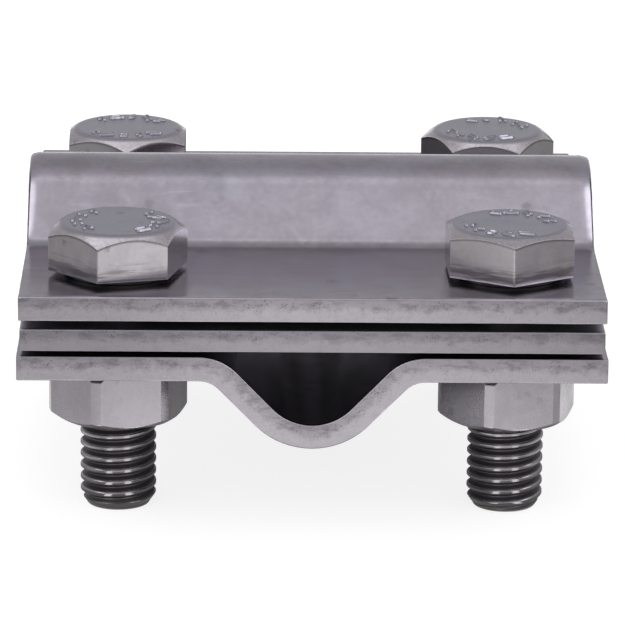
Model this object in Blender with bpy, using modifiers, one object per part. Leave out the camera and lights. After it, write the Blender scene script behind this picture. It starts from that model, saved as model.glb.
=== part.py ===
"""Cross connector clamp for two round conductors that cross at right angles.

Two equal pressed plates, each with one groove, face each other across a flat separator.
The upper one has its groove along X, the lower one has its groove along Y.
Four hexagon head screws and their nuts draw the three plates together.

Metres, +Z up.  The screws stand with their ends at Z = 0, and the origin is between them.
"""

from math import cos, pi, radians, sin, tan

import bmesh
import bpy
from mathutils import Matrix, Vector

# Pressed plates
PLATE_SHEET = 0.00255           # thickness of the sheet
PLATE_EXCESS = 0.0005           # by which a plate is wider across its groove than along it
GROOVE_DEPTH = 0.0072           # from the flanges to the bottom, on the face that grips
GROOVE_SLOPE = radians(46)      # of the walls, from the flanges
GROOVE_RADIUS = 0.0055          # inside the bottom of the groove
SHOULDER_RADIUS = 0.0055        # where the gripping face turns into the groove
FLANGE_ROUND = 0.00022          # on the sheared edges of the flanges
RIDGE_ROUND = 0.00050           # on the ends of the ridge, where the press drew the sheet in

# Separator plate
SEPARATOR_MARGIN = 0.0002       # by which it is smaller than the pressed plates
SEPARATOR_SHEET = 0.0023        # thickness of the sheet
SEPARATOR_ROUND = 0.00018       # on its sheared edges

# Gaps between the plates, as the screws leave them
UPPER_GAP = 0.00098
LOWER_GAP = 0.00056

# Screws and nuts
SCREW_LENGTH = 0.0250           # from the plate under the head to the screw's end
SCREW_EDGE = 0.0099             # from a screw's axis to the nearest edge of a pressed plate
THREAD_DIAMETER = 0.0079
POINT_SLOPE = radians(50)       # of the chamfer at the screw's end, from the flat
NECK_FILLET = 0.00025           # under the head
HEAD_WALL = 0.00245             # from the thread to a head's flats
NUT_WALL = 0.00255              # from the thread to a nut's flats
HEAD_HEIGHT = 0.0053
HEAD_BEND = 0.0012              # radius between the flat top and the chamfer
BEARING_HEIGHT = 0.0005         # from the plate to the underside of the hexagon
NUT_HEIGHT = 0.00646            # from the plate to the nut's free face
NUT_SLOPE = radians(30)         # of the chamfers round both faces
NUT_MOUTH = 0.0004              # how far the nut's bore opens out at each end

# Margins and clearances
POINT_MARGIN = 0.0013           # by which the flat end of a screw is smaller than its thread
HOLE_CLEARANCE = 0.0013         # by which a plate's holes are wider than the thread
DISC_MARGIN = 0.0020            # by which the flat top of a head is smaller than the hexagon
BEARING_MARGIN = 0.0012         # by which the bearing face under a head is smaller than it
NUT_FACE_MARGIN = 0.0012        # by which the free face of a nut is smaller than it
CORNER_WEAR = 0.00056           # taken off the width of a nut over its corners
NUT_SEAT_MARGIN = 0.00085       # by which a nut's face towards the plate is smaller than that
NUT_ROOM = 0.00087              # between a nut's corners and the start of the groove
SEAT_GAP = 0.0003               # between a head or a nut and the plate that it seats on
THREAD_GAP = 0.0003             # between the screw and the bore of its nut, all round

# Smoothness of the curves
ROUND_STEPS = 36                # facets round screws and nuts
HOLE_STEPS = 32
BEND_STEPS = 7                  # facets for one bend of the plates
EDGE_STEPS = 2                  # facets for a rounded edge
HEAD_STEPS = 3                  # facets for the bend round the head's top

# Each screw's corner of the clamp and how far it stands to the right in its holes, how far its head and
# its nut are turned from having a corner towards the viewer, and the slope of the chamfer round its head
SCREWS = {
    "front_left": (-1, -1, 0.0, radians(-15.0), radians(-17.0), radians(38.5)),
    "front_right": (1, -1, 0.00035, radians(1.3), radians(-17.0), radians(24.0)),
    "back_left": (-1, 1, 0.0, radians(0.0), radians(8.0), radians(38.5)),
    "back_right": (1, 1, 0.0, radians(26.0), radians(-24.0), radians(38.5)),
}

# Sizes that follow from those above
GROOVE_BENDS = GROOVE_RADIUS + SHOULDER_RADIUS
WALL_RISE = GROOVE_DEPTH - GROOVE_BENDS * (1 - cos(GROOVE_SLOPE))
GROOVE_HALF_WIDTH = GROOVE_BENDS * sin(GROOVE_SLOPE) + WALL_RISE / tan(GROOVE_SLOPE)
HEAD_WIDTH = THREAD_DIAMETER + 2 * HEAD_WALL
HEAD_CORNER = HEAD_WIDTH / 2 / cos(pi / 6)
NUT_WIDTH = THREAD_DIAMETER + 2 * NUT_WALL
NUT_CORNER = NUT_WIDTH / 2 / cos(pi / 6)
SCREW_SPACING = 2 * (GROOVE_HALF_WIDTH + NUT_CORNER + NUT_ROOM)
PLATE_LENGTH = SCREW_SPACING + 2 * SCREW_EDGE
PLATE_WIDTH = PLATE_LENGTH + PLATE_EXCESS
SEPARATOR_SIZE = PLATE_LENGTH - SEPARATOR_MARGIN
POINT_DIAMETER = THREAD_DIAMETER - POINT_MARGIN
HOLE_DIAMETER = THREAD_DIAMETER + HOLE_CLEARANCE
HEAD_DISC_DIAMETER = HEAD_WIDTH - DISC_MARGIN
BEARING_DIAMETER = HEAD_WIDTH - BEARING_MARGIN
NUT_FACE_DIAMETER = NUT_WIDTH - NUT_FACE_MARGIN
NUT_CORNER_DIAMETER = 2 * NUT_CORNER - CORNER_WEAR
NUT_SEAT_DIAMETER = NUT_CORNER_DIAMETER - NUT_SEAT_MARGIN
TOP_PLATE_Z = SCREW_LENGTH - PLATE_SHEET
SEPARATOR_Z = TOP_PLATE_Z - UPPER_GAP - SEPARATOR_SHEET
BOTTOM_PLATE_Z = SEPARATOR_Z - LOWER_GAP
NUT_TOP_Z = BOTTOM_PLATE_Z - PLATE_SHEET - SEAT_GAP

SHARP_EDGE = radians(60)        # a sheared edge of the sheet is sharper than this
SHARP_HEX = radians(25)         # an edge of a head or nut that is sharper isn't shaded smooth
BAR_ALLOWANCE = 0.0005          # by which a turned form passes the hexagon bar's corners
MERGE = 0.00001


def clear_scene():
    for old in list(bpy.data.objects):
        bpy.data.objects.remove(old, do_unlink=True)


def new_collection(name):
    collection = bpy.data.collections.new(name)
    bpy.context.scene.collection.children.link(collection)
    return collection


def new_object(name, mesh, collection):
    obj = bpy.data.objects.new(name, mesh)
    collection.objects.link(obj)
    return obj


def mesh_from(name, bm):
    mesh = bpy.data.meshes.new(name)
    bm.to_mesh(mesh)
    bm.free()
    return mesh


def as_guide(obj):
    """Show a cutter or a blank as wires, and leave it out of renders."""
    obj.hide_render = True
    obj.display_type = "WIRE"
    return obj


def finished_mesh(obj, name):
    """The mesh of an object with its modifiers applied."""
    bpy.context.view_layer.update()
    evaluated = obj.evaluated_get(bpy.context.evaluated_depsgraph_get())
    mesh = bpy.data.meshes.new_from_object(evaluated)
    mesh.name = name
    return mesh


def steel(name, colour, roughness):
    material = bpy.data.materials.new(name)
    material.use_nodes = True
    shader = material.node_tree.nodes["Principled BSDF"]
    shader.inputs["Base Color"].default_value = (*colour, 1.0)
    shader.inputs["Metallic"].default_value = 1.0
    shader.inputs["Roughness"].default_value = roughness
    return material


# The plates

def groove_section():
    """Half of the gripping face in section, from the middle of the groove outwards.

    Two bends and a straight wall between them, each tangent to the next.
    The points are (across, height), with the flange at height 0.
    """
    angles = [GROOVE_SLOPE * step / BEND_STEPS for step in range(BEND_STEPS + 1)]
    bottom = [
        (GROOVE_RADIUS * sin(angle), GROOVE_DEPTH - GROOVE_RADIUS * (1 - cos(angle)))
        for angle in angles
    ]
    shoulder = [
        (GROOVE_HALF_WIDTH - SHOULDER_RADIUS * sin(angle), SHOULDER_RADIUS * (1 - cos(angle)))
        for angle in reversed(angles)
    ]
    return bottom + shoulder + [(PLATE_WIDTH / 2, 0.0)]


def round_sheared_edges(mesh):
    """Mark the sheet's sheared edges for the bevel, and those of the ridge's ends the most."""
    bm = bmesh.new()
    bm.from_mesh(mesh)
    weight = bm.edges.layers.float.new("bevel_weight_edge")
    for edge in bm.edges:
        if edge.calc_face_angle(0.0) < SHARP_EDGE:
            continue
        height = (edge.verts[0].co.z + edge.verts[1].co.z) / 2
        climb = min(max((height - PLATE_SHEET) / GROOVE_DEPTH, 0.0), 1.0)
        edge[weight] = (FLANGE_ROUND + climb * (RIDGE_ROUND - FLANGE_ROUND)) / RIDGE_ROUND
    bm.to_mesh(mesh)
    bm.free()


def pressed_sheet(collection):
    """The blank of both pressed plates: groove along X, gripping face down, ridge up."""
    half = groove_section()
    section = [(-across, height) for across, height in reversed(half[1:])] + half
    bm = bmesh.new()
    row = [bm.verts.new((-PLATE_LENGTH / 2, across, height)) for across, height in section]
    edges = [bm.edges.new(pair) for pair in zip(row, row[1:])]
    drawn = bmesh.ops.extrude_edge_only(bm, edges=edges)["geom"]
    far_row = [item for item in drawn if isinstance(item, bmesh.types.BMVert)]
    bmesh.ops.translate(bm, verts=far_row, vec=(PLATE_LENGTH, 0, 0))
    for face in bm.faces:
        face.normal_update()
        if face.normal.z > 0:
            face.normal_flip()
    sheet = new_object("pressed_sheet", mesh_from("pressed_sheet", bm), collection)
    thicken = sheet.modifiers.new("sheet", "SOLIDIFY")
    thicken.thickness = PLATE_SHEET
    thicken.offset = -1.0
    thicken.use_even_offset = True
    mesh = finished_mesh(sheet, "pressed_plate")
    bpy.data.objects.remove(sheet)
    round_sheared_edges(mesh)
    return mesh


def hole_punches(collection):
    """Four cylinders through all three plates, one for each screw."""
    bm = bmesh.new()
    reach = SCREW_LENGTH + GROOVE_DEPTH
    for side_x, side_y, *_ in SCREWS.values():
        place = Vector((side_x * SCREW_SPACING / 2, side_y * SCREW_SPACING / 2, SCREW_LENGTH / 2))
        bmesh.ops.create_cone(
            bm, cap_ends=True, segments=HOLE_STEPS, depth=reach,
            radius1=HOLE_DIAMETER / 2, radius2=HOLE_DIAMETER / 2,
            matrix=Matrix.Translation(place),
        )
    return as_guide(new_object("hole_punches", mesh_from("hole_punches", bm), collection))


def punch(plate, punches):
    holes = plate.modifiers.new("screw holes", "BOOLEAN")
    holes.operation = "DIFFERENCE"
    holes.object = punches


def pressed_plate(name, sheet, height, turn, material, collection):
    """One pressed plate, with its gripping face at the given height."""
    plate = new_object(name, sheet, collection)
    plate.location.z = height
    plate.rotation_euler = turn
    edges = plate.modifiers.new("sheared edges", "BEVEL")
    edges.limit_method = "WEIGHT"
    edges.width = RIDGE_ROUND
    edges.segments = EDGE_STEPS
    if not sheet.materials:
        sheet.materials.append(material)
    return plate


def separator_plate(material, collection):
    bm = bmesh.new()
    bmesh.ops.create_cube(bm, size=1.0)
    bmesh.ops.scale(bm, vec=(SEPARATOR_SIZE, SEPARATOR_SIZE, SEPARATOR_SHEET), verts=bm.verts)
    plate = new_object("middle_plate", mesh_from("middle_plate", bm), collection)
    plate.location.z = SEPARATOR_Z + SEPARATOR_SHEET / 2
    edges = plate.modifiers.new("sheared edges", "BEVEL")
    edges.width = SEPARATOR_ROUND
    edges.segments = EDGE_STEPS
    plate.data.materials.append(material)
    return plate


# The screws and nuts

def turned(name, profile, closed, collection):
    """A turned body: the profile runs down its outer side, as (radius, height) points."""
    bm = bmesh.new()
    points = [bm.verts.new((radius, 0, height)) for radius, height in profile]
    for pair in zip(points, points[1:]):
        bm.edges.new(pair)
    if closed:
        bm.edges.new((points[-1], points[0]))
    obj = as_guide(new_object(name, mesh_from(name, bm), collection))
    spin = obj.modifiers.new("turning", "SCREW")
    spin.steps = ROUND_STEPS
    spin.render_steps = ROUND_STEPS
    spin.use_merge_vertices = True
    spin.merge_threshold = MERGE
    return obj


def cut_from_hexagon_bar(name, body, corner, low, high, collection):
    """The mesh that a turned body leaves of a hexagon bar, corners towards +Y and -Y."""
    bm = bmesh.new()
    bmesh.ops.create_cone(
        bm, cap_ends=True, segments=6, radius1=corner, radius2=corner,
        depth=high - low, matrix=Matrix.Translation((0, 0, (low + high) / 2)),
    )
    bar = new_object(name + "_bar", mesh_from(name + "_bar", bm), collection)
    form = bar.modifiers.new("turned form", "BOOLEAN")
    form.operation = "INTERSECT"
    form.object = body
    mesh = finished_mesh(bar, name)
    bpy.data.objects.remove(bar)
    mesh.set_sharp_from_angle(angle=SHARP_HEX)
    return mesh


def screw_profile(slope):
    """From the middle of the head's top, down its outside and the shank, to the end."""
    shank = THREAD_DIAMETER / 2
    point = POINT_DIAMETER / 2
    top = SCREW_LENGTH + HEAD_HEIGHT
    underside = SCREW_LENGTH + BEARING_HEIGHT
    seat = SCREW_LENGTH + SEAT_GAP
    clear = HEAD_CORNER + BAR_ALLOWANCE
    angles = [slope * step / HEAD_STEPS for step in range(HEAD_STEPS + 1)]
    bend = [
        (HEAD_DISC_DIAMETER / 2 + HEAD_BEND * sin(angle), top - HEAD_BEND * (1 - cos(angle)))
        for angle in angles
    ]
    chamfer_start, chamfer_top = bend[-1]
    return [
        (0.0, top),
        *bend,
        (clear, chamfer_top - (clear - chamfer_start) * tan(slope)),
        (clear, underside),
        (BEARING_DIAMETER / 2, underside),
        (BEARING_DIAMETER / 2, seat),
        (shank + NECK_FILLET, seat),
        (shank, seat - NECK_FILLET),
        (shank, (shank - point) * tan(POINT_SLOPE)),
        (point, 0.0),
        (0.0, 0.0),
    ]


def nut_profile():
    """Round the nut's section: down the outside, then up the bore.  Its top is at 0."""
    bore = THREAD_DIAMETER / 2 + THREAD_GAP
    corner = NUT_CORNER_DIAMETER / 2
    seat = NUT_SEAT_DIAMETER / 2
    face = NUT_FACE_DIAMETER / 2
    end = SEAT_GAP - NUT_HEIGHT
    return [
        (seat, 0.0),
        (corner, (seat - corner) * tan(NUT_SLOPE)),
        (corner, end + (corner - face) * tan(NUT_SLOPE)),
        (face, end),
        (bore + NUT_MOUTH, end),
        (bore, end + NUT_MOUTH),
        (bore, -NUT_MOUTH),
        (bore + NUT_MOUTH, 0.0),
    ]


def screw_mesh(slope, collection):
    body = turned("screw_form", screw_profile(slope), False, collection)
    top = SCREW_LENGTH + 2 * HEAD_HEIGHT
    return cut_from_hexagon_bar("screw", body, HEAD_CORNER, -HEAD_HEIGHT, top, collection)


def nut_mesh(collection):
    body = turned("nut_form", nut_profile(), True, collection)
    return cut_from_hexagon_bar("nut", body, NUT_CORNER, -2 * NUT_HEIGHT, NUT_HEIGHT, collection)


def build_clamp():
    clamp = new_collection("cross_connector_clamp")
    guides = new_collection("cutters")
    centre = new_object("clamp_centre", None, clamp)

    plate_steel = steel("plate steel", (0.44, 0.42, 0.43), 0.38)
    separator_steel = steel("separator steel", (0.42, 0.40, 0.41), 0.42)
    screw_steel = steel("screw steel", (0.40, 0.38, 0.38), 0.30)
    nut_steel = steel("nut steel", (0.41, 0.39, 0.39), 0.34)

    sheet = pressed_sheet(guides)
    punches = hole_punches(guides)
    plates = [
        pressed_plate("top_plate", sheet, TOP_PLATE_Z, (0, 0, 0), plate_steel, clamp),
        separator_plate(separator_steel, clamp),
        pressed_plate("bottom_plate", sheet, BOTTOM_PLATE_Z, (pi, 0, pi / 2), plate_steel, clamp),
    ]
    for plate in plates:
        punch(plate, punches)
        plate.parent = centre

    nut = nut_mesh(guides)
    nut.materials.append(nut_steel)
    for place, (side_x, side_y, aside, head_turn, nut_turn, slope) in SCREWS.items():
        axis = new_object("axis_" + place, None, clamp)
        axis.location = (side_x * SCREW_SPACING / 2 + aside, side_y * SCREW_SPACING / 2, 0)
        axis.parent = centre
        screw = screw_mesh(slope, guides)
        screw.materials.append(screw_steel)
        bolt = new_object("bolt_" + place, screw, clamp)
        bolt.rotation_euler.z = head_turn
        bolt.parent = axis
        follower = new_object("nut_" + place, nut, clamp)
        follower.location.z = NUT_TOP_Z
        follower.rotation_euler.z = nut_turn
        follower.parent = axis


clear_scene()
build_clamp()
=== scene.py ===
from math import acos, atan, atan2, cos, hypot, pi, radians, sin, tan

import bmesh
import bpy
from mathutils import Matrix, Vector


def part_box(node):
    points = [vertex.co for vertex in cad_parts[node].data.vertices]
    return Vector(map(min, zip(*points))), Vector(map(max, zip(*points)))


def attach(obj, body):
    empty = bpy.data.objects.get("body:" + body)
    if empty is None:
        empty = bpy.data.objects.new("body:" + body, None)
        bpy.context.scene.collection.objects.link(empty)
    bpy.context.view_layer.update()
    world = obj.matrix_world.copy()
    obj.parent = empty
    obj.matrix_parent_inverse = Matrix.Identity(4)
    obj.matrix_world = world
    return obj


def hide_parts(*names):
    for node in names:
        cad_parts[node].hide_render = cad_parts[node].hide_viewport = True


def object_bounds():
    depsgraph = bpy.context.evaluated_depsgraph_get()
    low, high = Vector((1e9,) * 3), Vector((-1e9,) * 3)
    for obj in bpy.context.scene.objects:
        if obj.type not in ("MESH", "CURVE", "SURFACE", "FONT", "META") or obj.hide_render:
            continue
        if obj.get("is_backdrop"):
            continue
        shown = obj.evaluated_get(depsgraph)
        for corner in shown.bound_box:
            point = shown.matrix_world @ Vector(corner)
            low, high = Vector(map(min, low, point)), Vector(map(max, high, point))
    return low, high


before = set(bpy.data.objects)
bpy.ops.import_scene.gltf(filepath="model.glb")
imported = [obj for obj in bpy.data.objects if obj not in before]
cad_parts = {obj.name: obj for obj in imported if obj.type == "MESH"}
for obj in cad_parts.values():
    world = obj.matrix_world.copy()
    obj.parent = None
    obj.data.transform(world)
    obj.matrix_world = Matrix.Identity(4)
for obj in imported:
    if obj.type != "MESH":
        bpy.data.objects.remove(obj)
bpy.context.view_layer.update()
scene = bpy.context.scene


# The camera
#
# It stands low in front of the clamp, on the screws' side, with a long lens.
# Its place was fitted to the corners, crests and screws that the photograph shows.

LENS_TARGET = Vector((0.0, 0.0, 0.016))
LENS_DISTANCE = 0.50215
LENS_LENGTH, SENSOR_WIDTH = 267.99, 36.0        # both in millimetres
NEAREST, FURTHEST = 0.01, 10.0  # what the camera draws
ELEVATION, AZIMUTH, ROLL = radians(16.30), radians(-0.909), radians(-0.609)
ASIDE, ABOVE = 0.000409, -0.001225      # the eye's step aside and up, square to its view

back = Vector((sin(AZIMUTH) * cos(ELEVATION), -cos(AZIMUTH) * cos(ELEVATION), sin(ELEVATION)))
level = Vector((cos(AZIMUTH), sin(AZIMUTH), 0.0))
upright = back.cross(level)
right = level * cos(ROLL) - upright * sin(ROLL)
up = level * sin(ROLL) + upright * cos(ROLL)
camera = bpy.data.objects.new("camera", bpy.data.cameras.new("camera"))
camera.data.lens = LENS_LENGTH
camera.data.sensor_width = SENSOR_WIDTH
camera.data.clip_start, camera.data.clip_end = NEAREST, FURTHEST
eye = LENS_TARGET + back * LENS_DISTANCE + right * ASIDE + up * ABOVE
camera.matrix_world = Matrix.Translation(eye) @ Matrix((right, up, back)).transposed().to_4x4()
scene.collection.objects.link(camera)
scene.camera = camera
scene.view_settings.view_transform = "Standard"


# The two pressed plates
#
# Each is a square of 2.5 mm stainless sheet, sheared, punched with four holes and pressed with one groove.
# The lower one is the same pressing turned over and by a quarter turn.  The screws hold both.

PLATE_LENGTH, PLATE_WIDTH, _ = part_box("top_plate")[1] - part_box("top_plate")[0]
PLATE_SHEET = 0.00255
GROOVE_DEPTH, GROOVE_SLOPE = 0.0072, radians(46)
GROOVE_RADIUS, SHOULDER_RADIUS = 0.0055, 0.0055
TOP_PLATE_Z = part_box("top_plate")[0].z
BOTTOM_PLATE_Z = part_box("bottom_plate")[1].z
SCREW_PLACES = {
    name: (Vector(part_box("bolt_" + name)[0]) + Vector(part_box("bolt_" + name)[1])) / 2
    for name in ("front_left", "front_right", "back_left", "back_right")
}
HOLE_SPACING = SCREW_PLACES["back_right"].x - SCREW_PLACES["back_left"].x
HOLE_DIAMETER = 0.0092
RIM_STEPS = 3                   # rows of faces in a rounded rim
DRILL_SIDES = 48
JAG_SCALE, JAG_TOP, JAG_GAIN = 900.0, 0.72, 4.0         # of the noise that tears a sheared edge


class Wire:
    """A number on its way through a node tree.  Arithmetic with it adds Math nodes to the tree."""

    def __init__(self, socket):
        self.socket = socket

    def math(self, operation, *others):
        return calculated(self.socket.id_data, operation, self, *others)

    def __add__(self, other):
        return self.math("ADD", other)

    def __sub__(self, other):
        return self.math("SUBTRACT", other)

    def __rsub__(self, other):
        return calculated(self.socket.id_data, "SUBTRACT", other, self)

    def __mul__(self, other):
        return self.math("MULTIPLY", other)

    def __truediv__(self, other):
        return self.math("DIVIDE", other)

    def at_least(self, other):
        return self.math("MAXIMUM", other)

    def at_most(self, other):
        return self.math("MINIMUM", other)

    def between(self, low, high):
        return self.at_least(low).at_most(high)


def feed(socket, value):
    """Join a wire or a socket to an input, or set a plain value on it."""
    if isinstance(value, Wire):
        value = value.socket
    if isinstance(value, bpy.types.NodeSocket):
        socket.id_data.links.new(value, socket)
    else:
        socket.default_value = value


def node(tree, kind, inputs=None, **settings):
    made = tree.nodes.new(kind)
    for name, value in settings.items():
        setattr(made, name, value)
    for name, value in (inputs or {}).items():
        feed(made.inputs[name], value)
    return made


def calculated(tree, operation, *values):
    made = node(tree, "ShaderNodeMath", operation=operation)
    for socket, value in zip(made.inputs, values):
        feed(socket, value)
    return Wire(made.outputs[0])


def smooth_step(value, start, end):
    """0 before start, 1 past end, and an even climb between them."""
    made = node(value.socket.id_data, "ShaderNodeMapRange", {
        "Value": value, "From Min": start, "From Max": end,
    }, interpolation_type="SMOOTHSTEP")
    return Wire(made.outputs["Result"])


def growth_tree(name, inputs, takes_mesh=False):
    """A Geometry Nodes tree with named inputs.  Returns it, its input wires and its output node."""
    tree = bpy.data.node_groups.new(name, "GeometryNodeTree")
    if takes_mesh:
        tree.interface.new_socket("Mesh", in_out="INPUT", socket_type="NodeSocketGeometry")
    kinds = {float: "NodeSocketFloat", int: "NodeSocketInt", tuple: "NodeSocketVector"}
    for label, value in inputs.items():
        socket = tree.interface.new_socket(label, in_out="INPUT", socket_type=kinds[type(value)])
        socket.default_value = value
    tree.interface.new_socket("Mesh", in_out="OUTPUT", socket_type="NodeSocketGeometry")
    entry = tree.nodes.new("NodeGroupInput")
    wires = {label: Wire(entry.outputs[label]) for label in inputs}
    if takes_mesh:
        wires["Mesh"] = entry.outputs["Mesh"]
    return tree, wires, tree.nodes.new("NodeGroupOutput")


def grown(name, tree, values, start=None):
    """The plain mesh that a tree makes with these values."""
    grower = bpy.data.objects.new(name, start or bpy.data.meshes.new(name))
    scene.collection.objects.link(grower)
    growth = grower.modifiers.new(tree.name, "NODES")
    growth.node_group = tree
    sockets = {item.name: item.identifier for item in tree.interface.items_tree if item.in_out == "INPUT"}
    for label, value in values.items():
        growth[sockets[label]] = value
    mesh = bpy.data.meshes.new_from_object(grower.evaluated_get(bpy.context.evaluated_depsgraph_get()))
    grower.modifiers.remove(growth)
    bpy.data.objects.remove(grower)
    mesh.name = name
    return mesh


def combined(tree, x, y, z):
    return node(tree, "ShaderNodeCombineXYZ", {"X": x, "Y": y, "Z": z}).outputs[0]


def parts_of(tree, vector):
    return [Wire(socket) for socket in node(tree, "ShaderNodeSeparateXYZ", {"Vector": vector}).outputs]


def moved(tree, mesh, position):
    return node(tree, "GeometryNodeSetPosition", {"Geometry": mesh, "Position": position}).outputs[0]


def stored(tree, mesh, name, value):
    """The mesh with the value kept on its points as a named attribute."""
    return node(tree, "GeometryNodeStoreNamedAttribute", {
        "Geometry": mesh, "Name": name, "Value": value,
    }, data_type="FLOAT", domain="POINT").outputs[0]


def spread_rows(unit, half, rim, rows):
    """Rows of a cube from -1 to 1, spread so that a few of them share the rounded rim."""
    inner = 1 - 2 * RIM_STEPS / (rows - 1)
    size = unit.math("ABSOLUTE")
    within = size.at_most(inner) / inner * (half - rim)
    beyond = (size - inner).at_least(0.0) / (1 - inner) * rim
    return unit.math("SIGN") * (within + beyond)


def plate_tree(rows_along, rows_across, rows_through):
    """A sheared, punched and pressed plate, made flat first and then bent along the groove's section."""
    tree, size, out = growth_tree("pressed plate", {
        "Length": 0.06, "Width": 0.06, "Sheet": 0.0025,
        "Groove depth": 0.0, "Wall slope": 0.0, "Groove radius": 0.005, "Shoulder radius": 0.005,
        "Rolled rim": 0.0004, "Burr rim": 0.0001, "Ridge droop": 0.0005, "Droop reach": 0.002,
        "Ragged edge": 0.00003, "Broken side": 1.0, "Hole spacing": 0.04, "Hole diameter": 0.009,
        "Place": (0.0, 0.0, 0.0), "Turn": (0.0, 0.0, 0.0),
    })
    slope, radius, shoulder = size["Wall slope"], size["Groove radius"], size["Shoulder radius"]
    rise, run = slope.math("SINE"), slope.math("COSINE")
    bends = radius + shoulder
    wall = (size["Groove depth"] - bends * (1.0 - run)) / rise
    first, last = radius * slope, shoulder * slope
    bent_width = bends * rise + wall * run
    half_x = size["Length"] * 0.5
    half_s = first + wall + last + (size["Width"] * 0.5 - bent_width)
    half_t = size["Sheet"] * 0.5

    # The flat blank, with the rims' rows close together
    cube = node(tree, "GeometryNodeMeshCube", {"Size": (2.0, 2.0, 2.0)})
    for axis, rows in zip("XYZ", (rows_along, rows_across, rows_through)):
        cube.inputs["Vertices " + axis].default_value = rows
    u, v, w = parts_of(tree, node(tree, "GeometryNodeInputPosition").outputs[0])
    rim = size["Burr rim"] + (size["Rolled rim"] - size["Burr rim"]) * (w * 0.5 + 0.5)
    blank = moved(tree, cube.outputs["Mesh"], combined(
        tree, spread_rows(u, half_x, rim, rows_along), spread_rows(v, half_s, rim, rows_across),
        spread_rows(w, half_t, rim, rows_through),
    ))

    # The four punched holes
    hole_s = size["Hole spacing"] * 0.5 + (half_s - size["Width"] * 0.5)
    corners = node(tree, "GeometryNodeMeshGrid", {
        "Size X": size["Hole spacing"], "Size Y": hole_s * 2.0, "Vertices X": 2, "Vertices Y": 2,
    })
    drill = node(tree, "GeometryNodeMeshCylinder", {
        "Vertices": DRILL_SIDES, "Radius": size["Hole diameter"] * 0.5, "Depth": size["Sheet"] * 3.0,
    })
    drills = node(tree, "GeometryNodeInstanceOnPoints", {
        "Points": corners.outputs["Mesh"], "Instance": drill.outputs["Mesh"],
    })
    drills = node(tree, "GeometryNodeRealizeInstances", {"Geometry": drills.outputs[0]})
    punched = node(tree, "GeometryNodeMeshBoolean", {"Mesh 1": blank}, operation="DIFFERENCE")
    tree.links.new(drills.outputs[0], punched.inputs["Mesh 2"])

    # The rims: each point near an edge goes to the rim's radius from the edge's own centre line
    x, s, t = parts_of(tree, node(tree, "GeometryNodeInputPosition").outputs[0])
    rim = size["Burr rim"] + (size["Rolled rim"] - size["Burr rim"]) * (t / size["Sheet"] + 0.5)
    kept = [
        axis.at_least(rim - half).at_most(half - rim)
        for axis, half in ((x, half_x), (s, half_s), (t, half_t))
    ]
    off = [axis - core for axis, core in zip((x, s, t), kept)]
    distance = (off[0] * off[0] + off[1] * off[1] + off[2] * off[2]).math("SQRT").at_least(0.0000001)
    outward = [axis / distance for axis in off]
    sheared = 1.0 - outward[2].math("ABSOLUTE")
    jag = node(tree, "ShaderNodeTexNoise", {"Scale": JAG_SCALE, "Detail": 3.0, "Roughness": 0.6})
    feed(jag.inputs["Vector"], combined(tree, x, s, t * 0.35))
    depth_of_jag = (Wire(jag.outputs[0]) - JAG_TOP).at_most(0.0) * size["Ragged edge"] * JAG_GAIN * sheared
    rounded = [core + way * (rim + depth_of_jag) for core, way in zip(kept, outward)]
    shaped = moved(tree, punched.outputs["Mesh"], combined(tree, *rounded))
    broken = t / size["Sheet"] * size["Broken side"] + 0.5
    marked = stored(tree, punched.outputs["Mesh"], "sheared", sheared)
    feed(shaped.node.inputs["Geometry"], stored(tree, marked, "broken", broken))

    # The pressing: two bends with a straight wall between them, each tangent to the next
    x, s, t = parts_of(tree, node(tree, "GeometryNodeInputPosition").outputs[0])
    along = s.math("ABSOLUTE")
    turn_in = (along / radius).at_most(slope)
    straight = (along - first).between(0.0, wall)
    turn_out = ((along - first - wall) / shoulder).between(0.0, slope)
    flat = (along - first - wall - last).at_least(0.0)
    lean = turn_in - turn_out
    section_y = (
        radius * turn_in.math("SINE") + straight * run + flat
        + shoulder * (rise - (slope - turn_out).math("SINE"))
    )
    section_z = size["Groove depth"] - (
        radius * (1.0 - turn_in.math("COSINE")) + straight * rise
        + shoulder * ((slope - turn_out).math("COSINE") - run)
    )
    climb = (section_z / size["Groove depth"].at_least(0.0001)).between(0.0, 1.0)
    near_end = (1.0 - (half_x - x.math("ABSOLUTE")) / size["Droop reach"]).at_least(0.0)
    height = t + half_t
    droop = near_end * near_end * climb * size["Ridge droop"] * (height / size["Sheet"])
    height = height - droop
    side = s.math("SIGN")
    pressed = moved(tree, shaped, combined(
        tree, x, side * (section_y + height * lean.math("SINE")), section_z + height * lean.math("COSINE"),
    ))
    placed = node(tree, "GeometryNodeTransform", {"Geometry": pressed, "Translation": size["Place"]})
    feed(placed.inputs["Rotation"], size["Turn"])
    real = node(tree, "GeometryNodeRealizeInstances", {"Geometry": placed.outputs[0]})
    finish = node(tree, "GeometryNodeSetMaterial", {"Geometry": real.outputs[0]})
    feed(out.inputs["Mesh"], finish.outputs[0])
    return tree, finish


def shader_group(name, inputs, outputs):
    """A shader node group with named inputs.  Returns it, its input wires and its output node."""
    group = bpy.data.node_groups.new(name, "ShaderNodeTree")
    for label, value in inputs.items():
        kind = "NodeSocketVector" if isinstance(value, tuple) else "NodeSocketFloat"
        group.interface.new_socket(label, in_out="INPUT", socket_type=kind).default_value = value
    for label in outputs:
        group.interface.new_socket(label, in_out="OUTPUT", socket_type="NodeSocketFloat")
    entry = group.nodes.new("NodeGroupInput")
    return group, {label: Wire(entry.outputs[label]) for label in inputs}, group.nodes.new("NodeGroupOutput")


def stretched(tree, scale, turn=(0.0, 0.0, 0.0)):
    """Object coordinates, scaled and turned."""
    place = node(tree, "ShaderNodeTexCoord").outputs["Object"]
    return node(tree, "ShaderNodeMapping", {"Vector": place, "Scale": scale, "Rotation": turn}).outputs[0]


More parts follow.
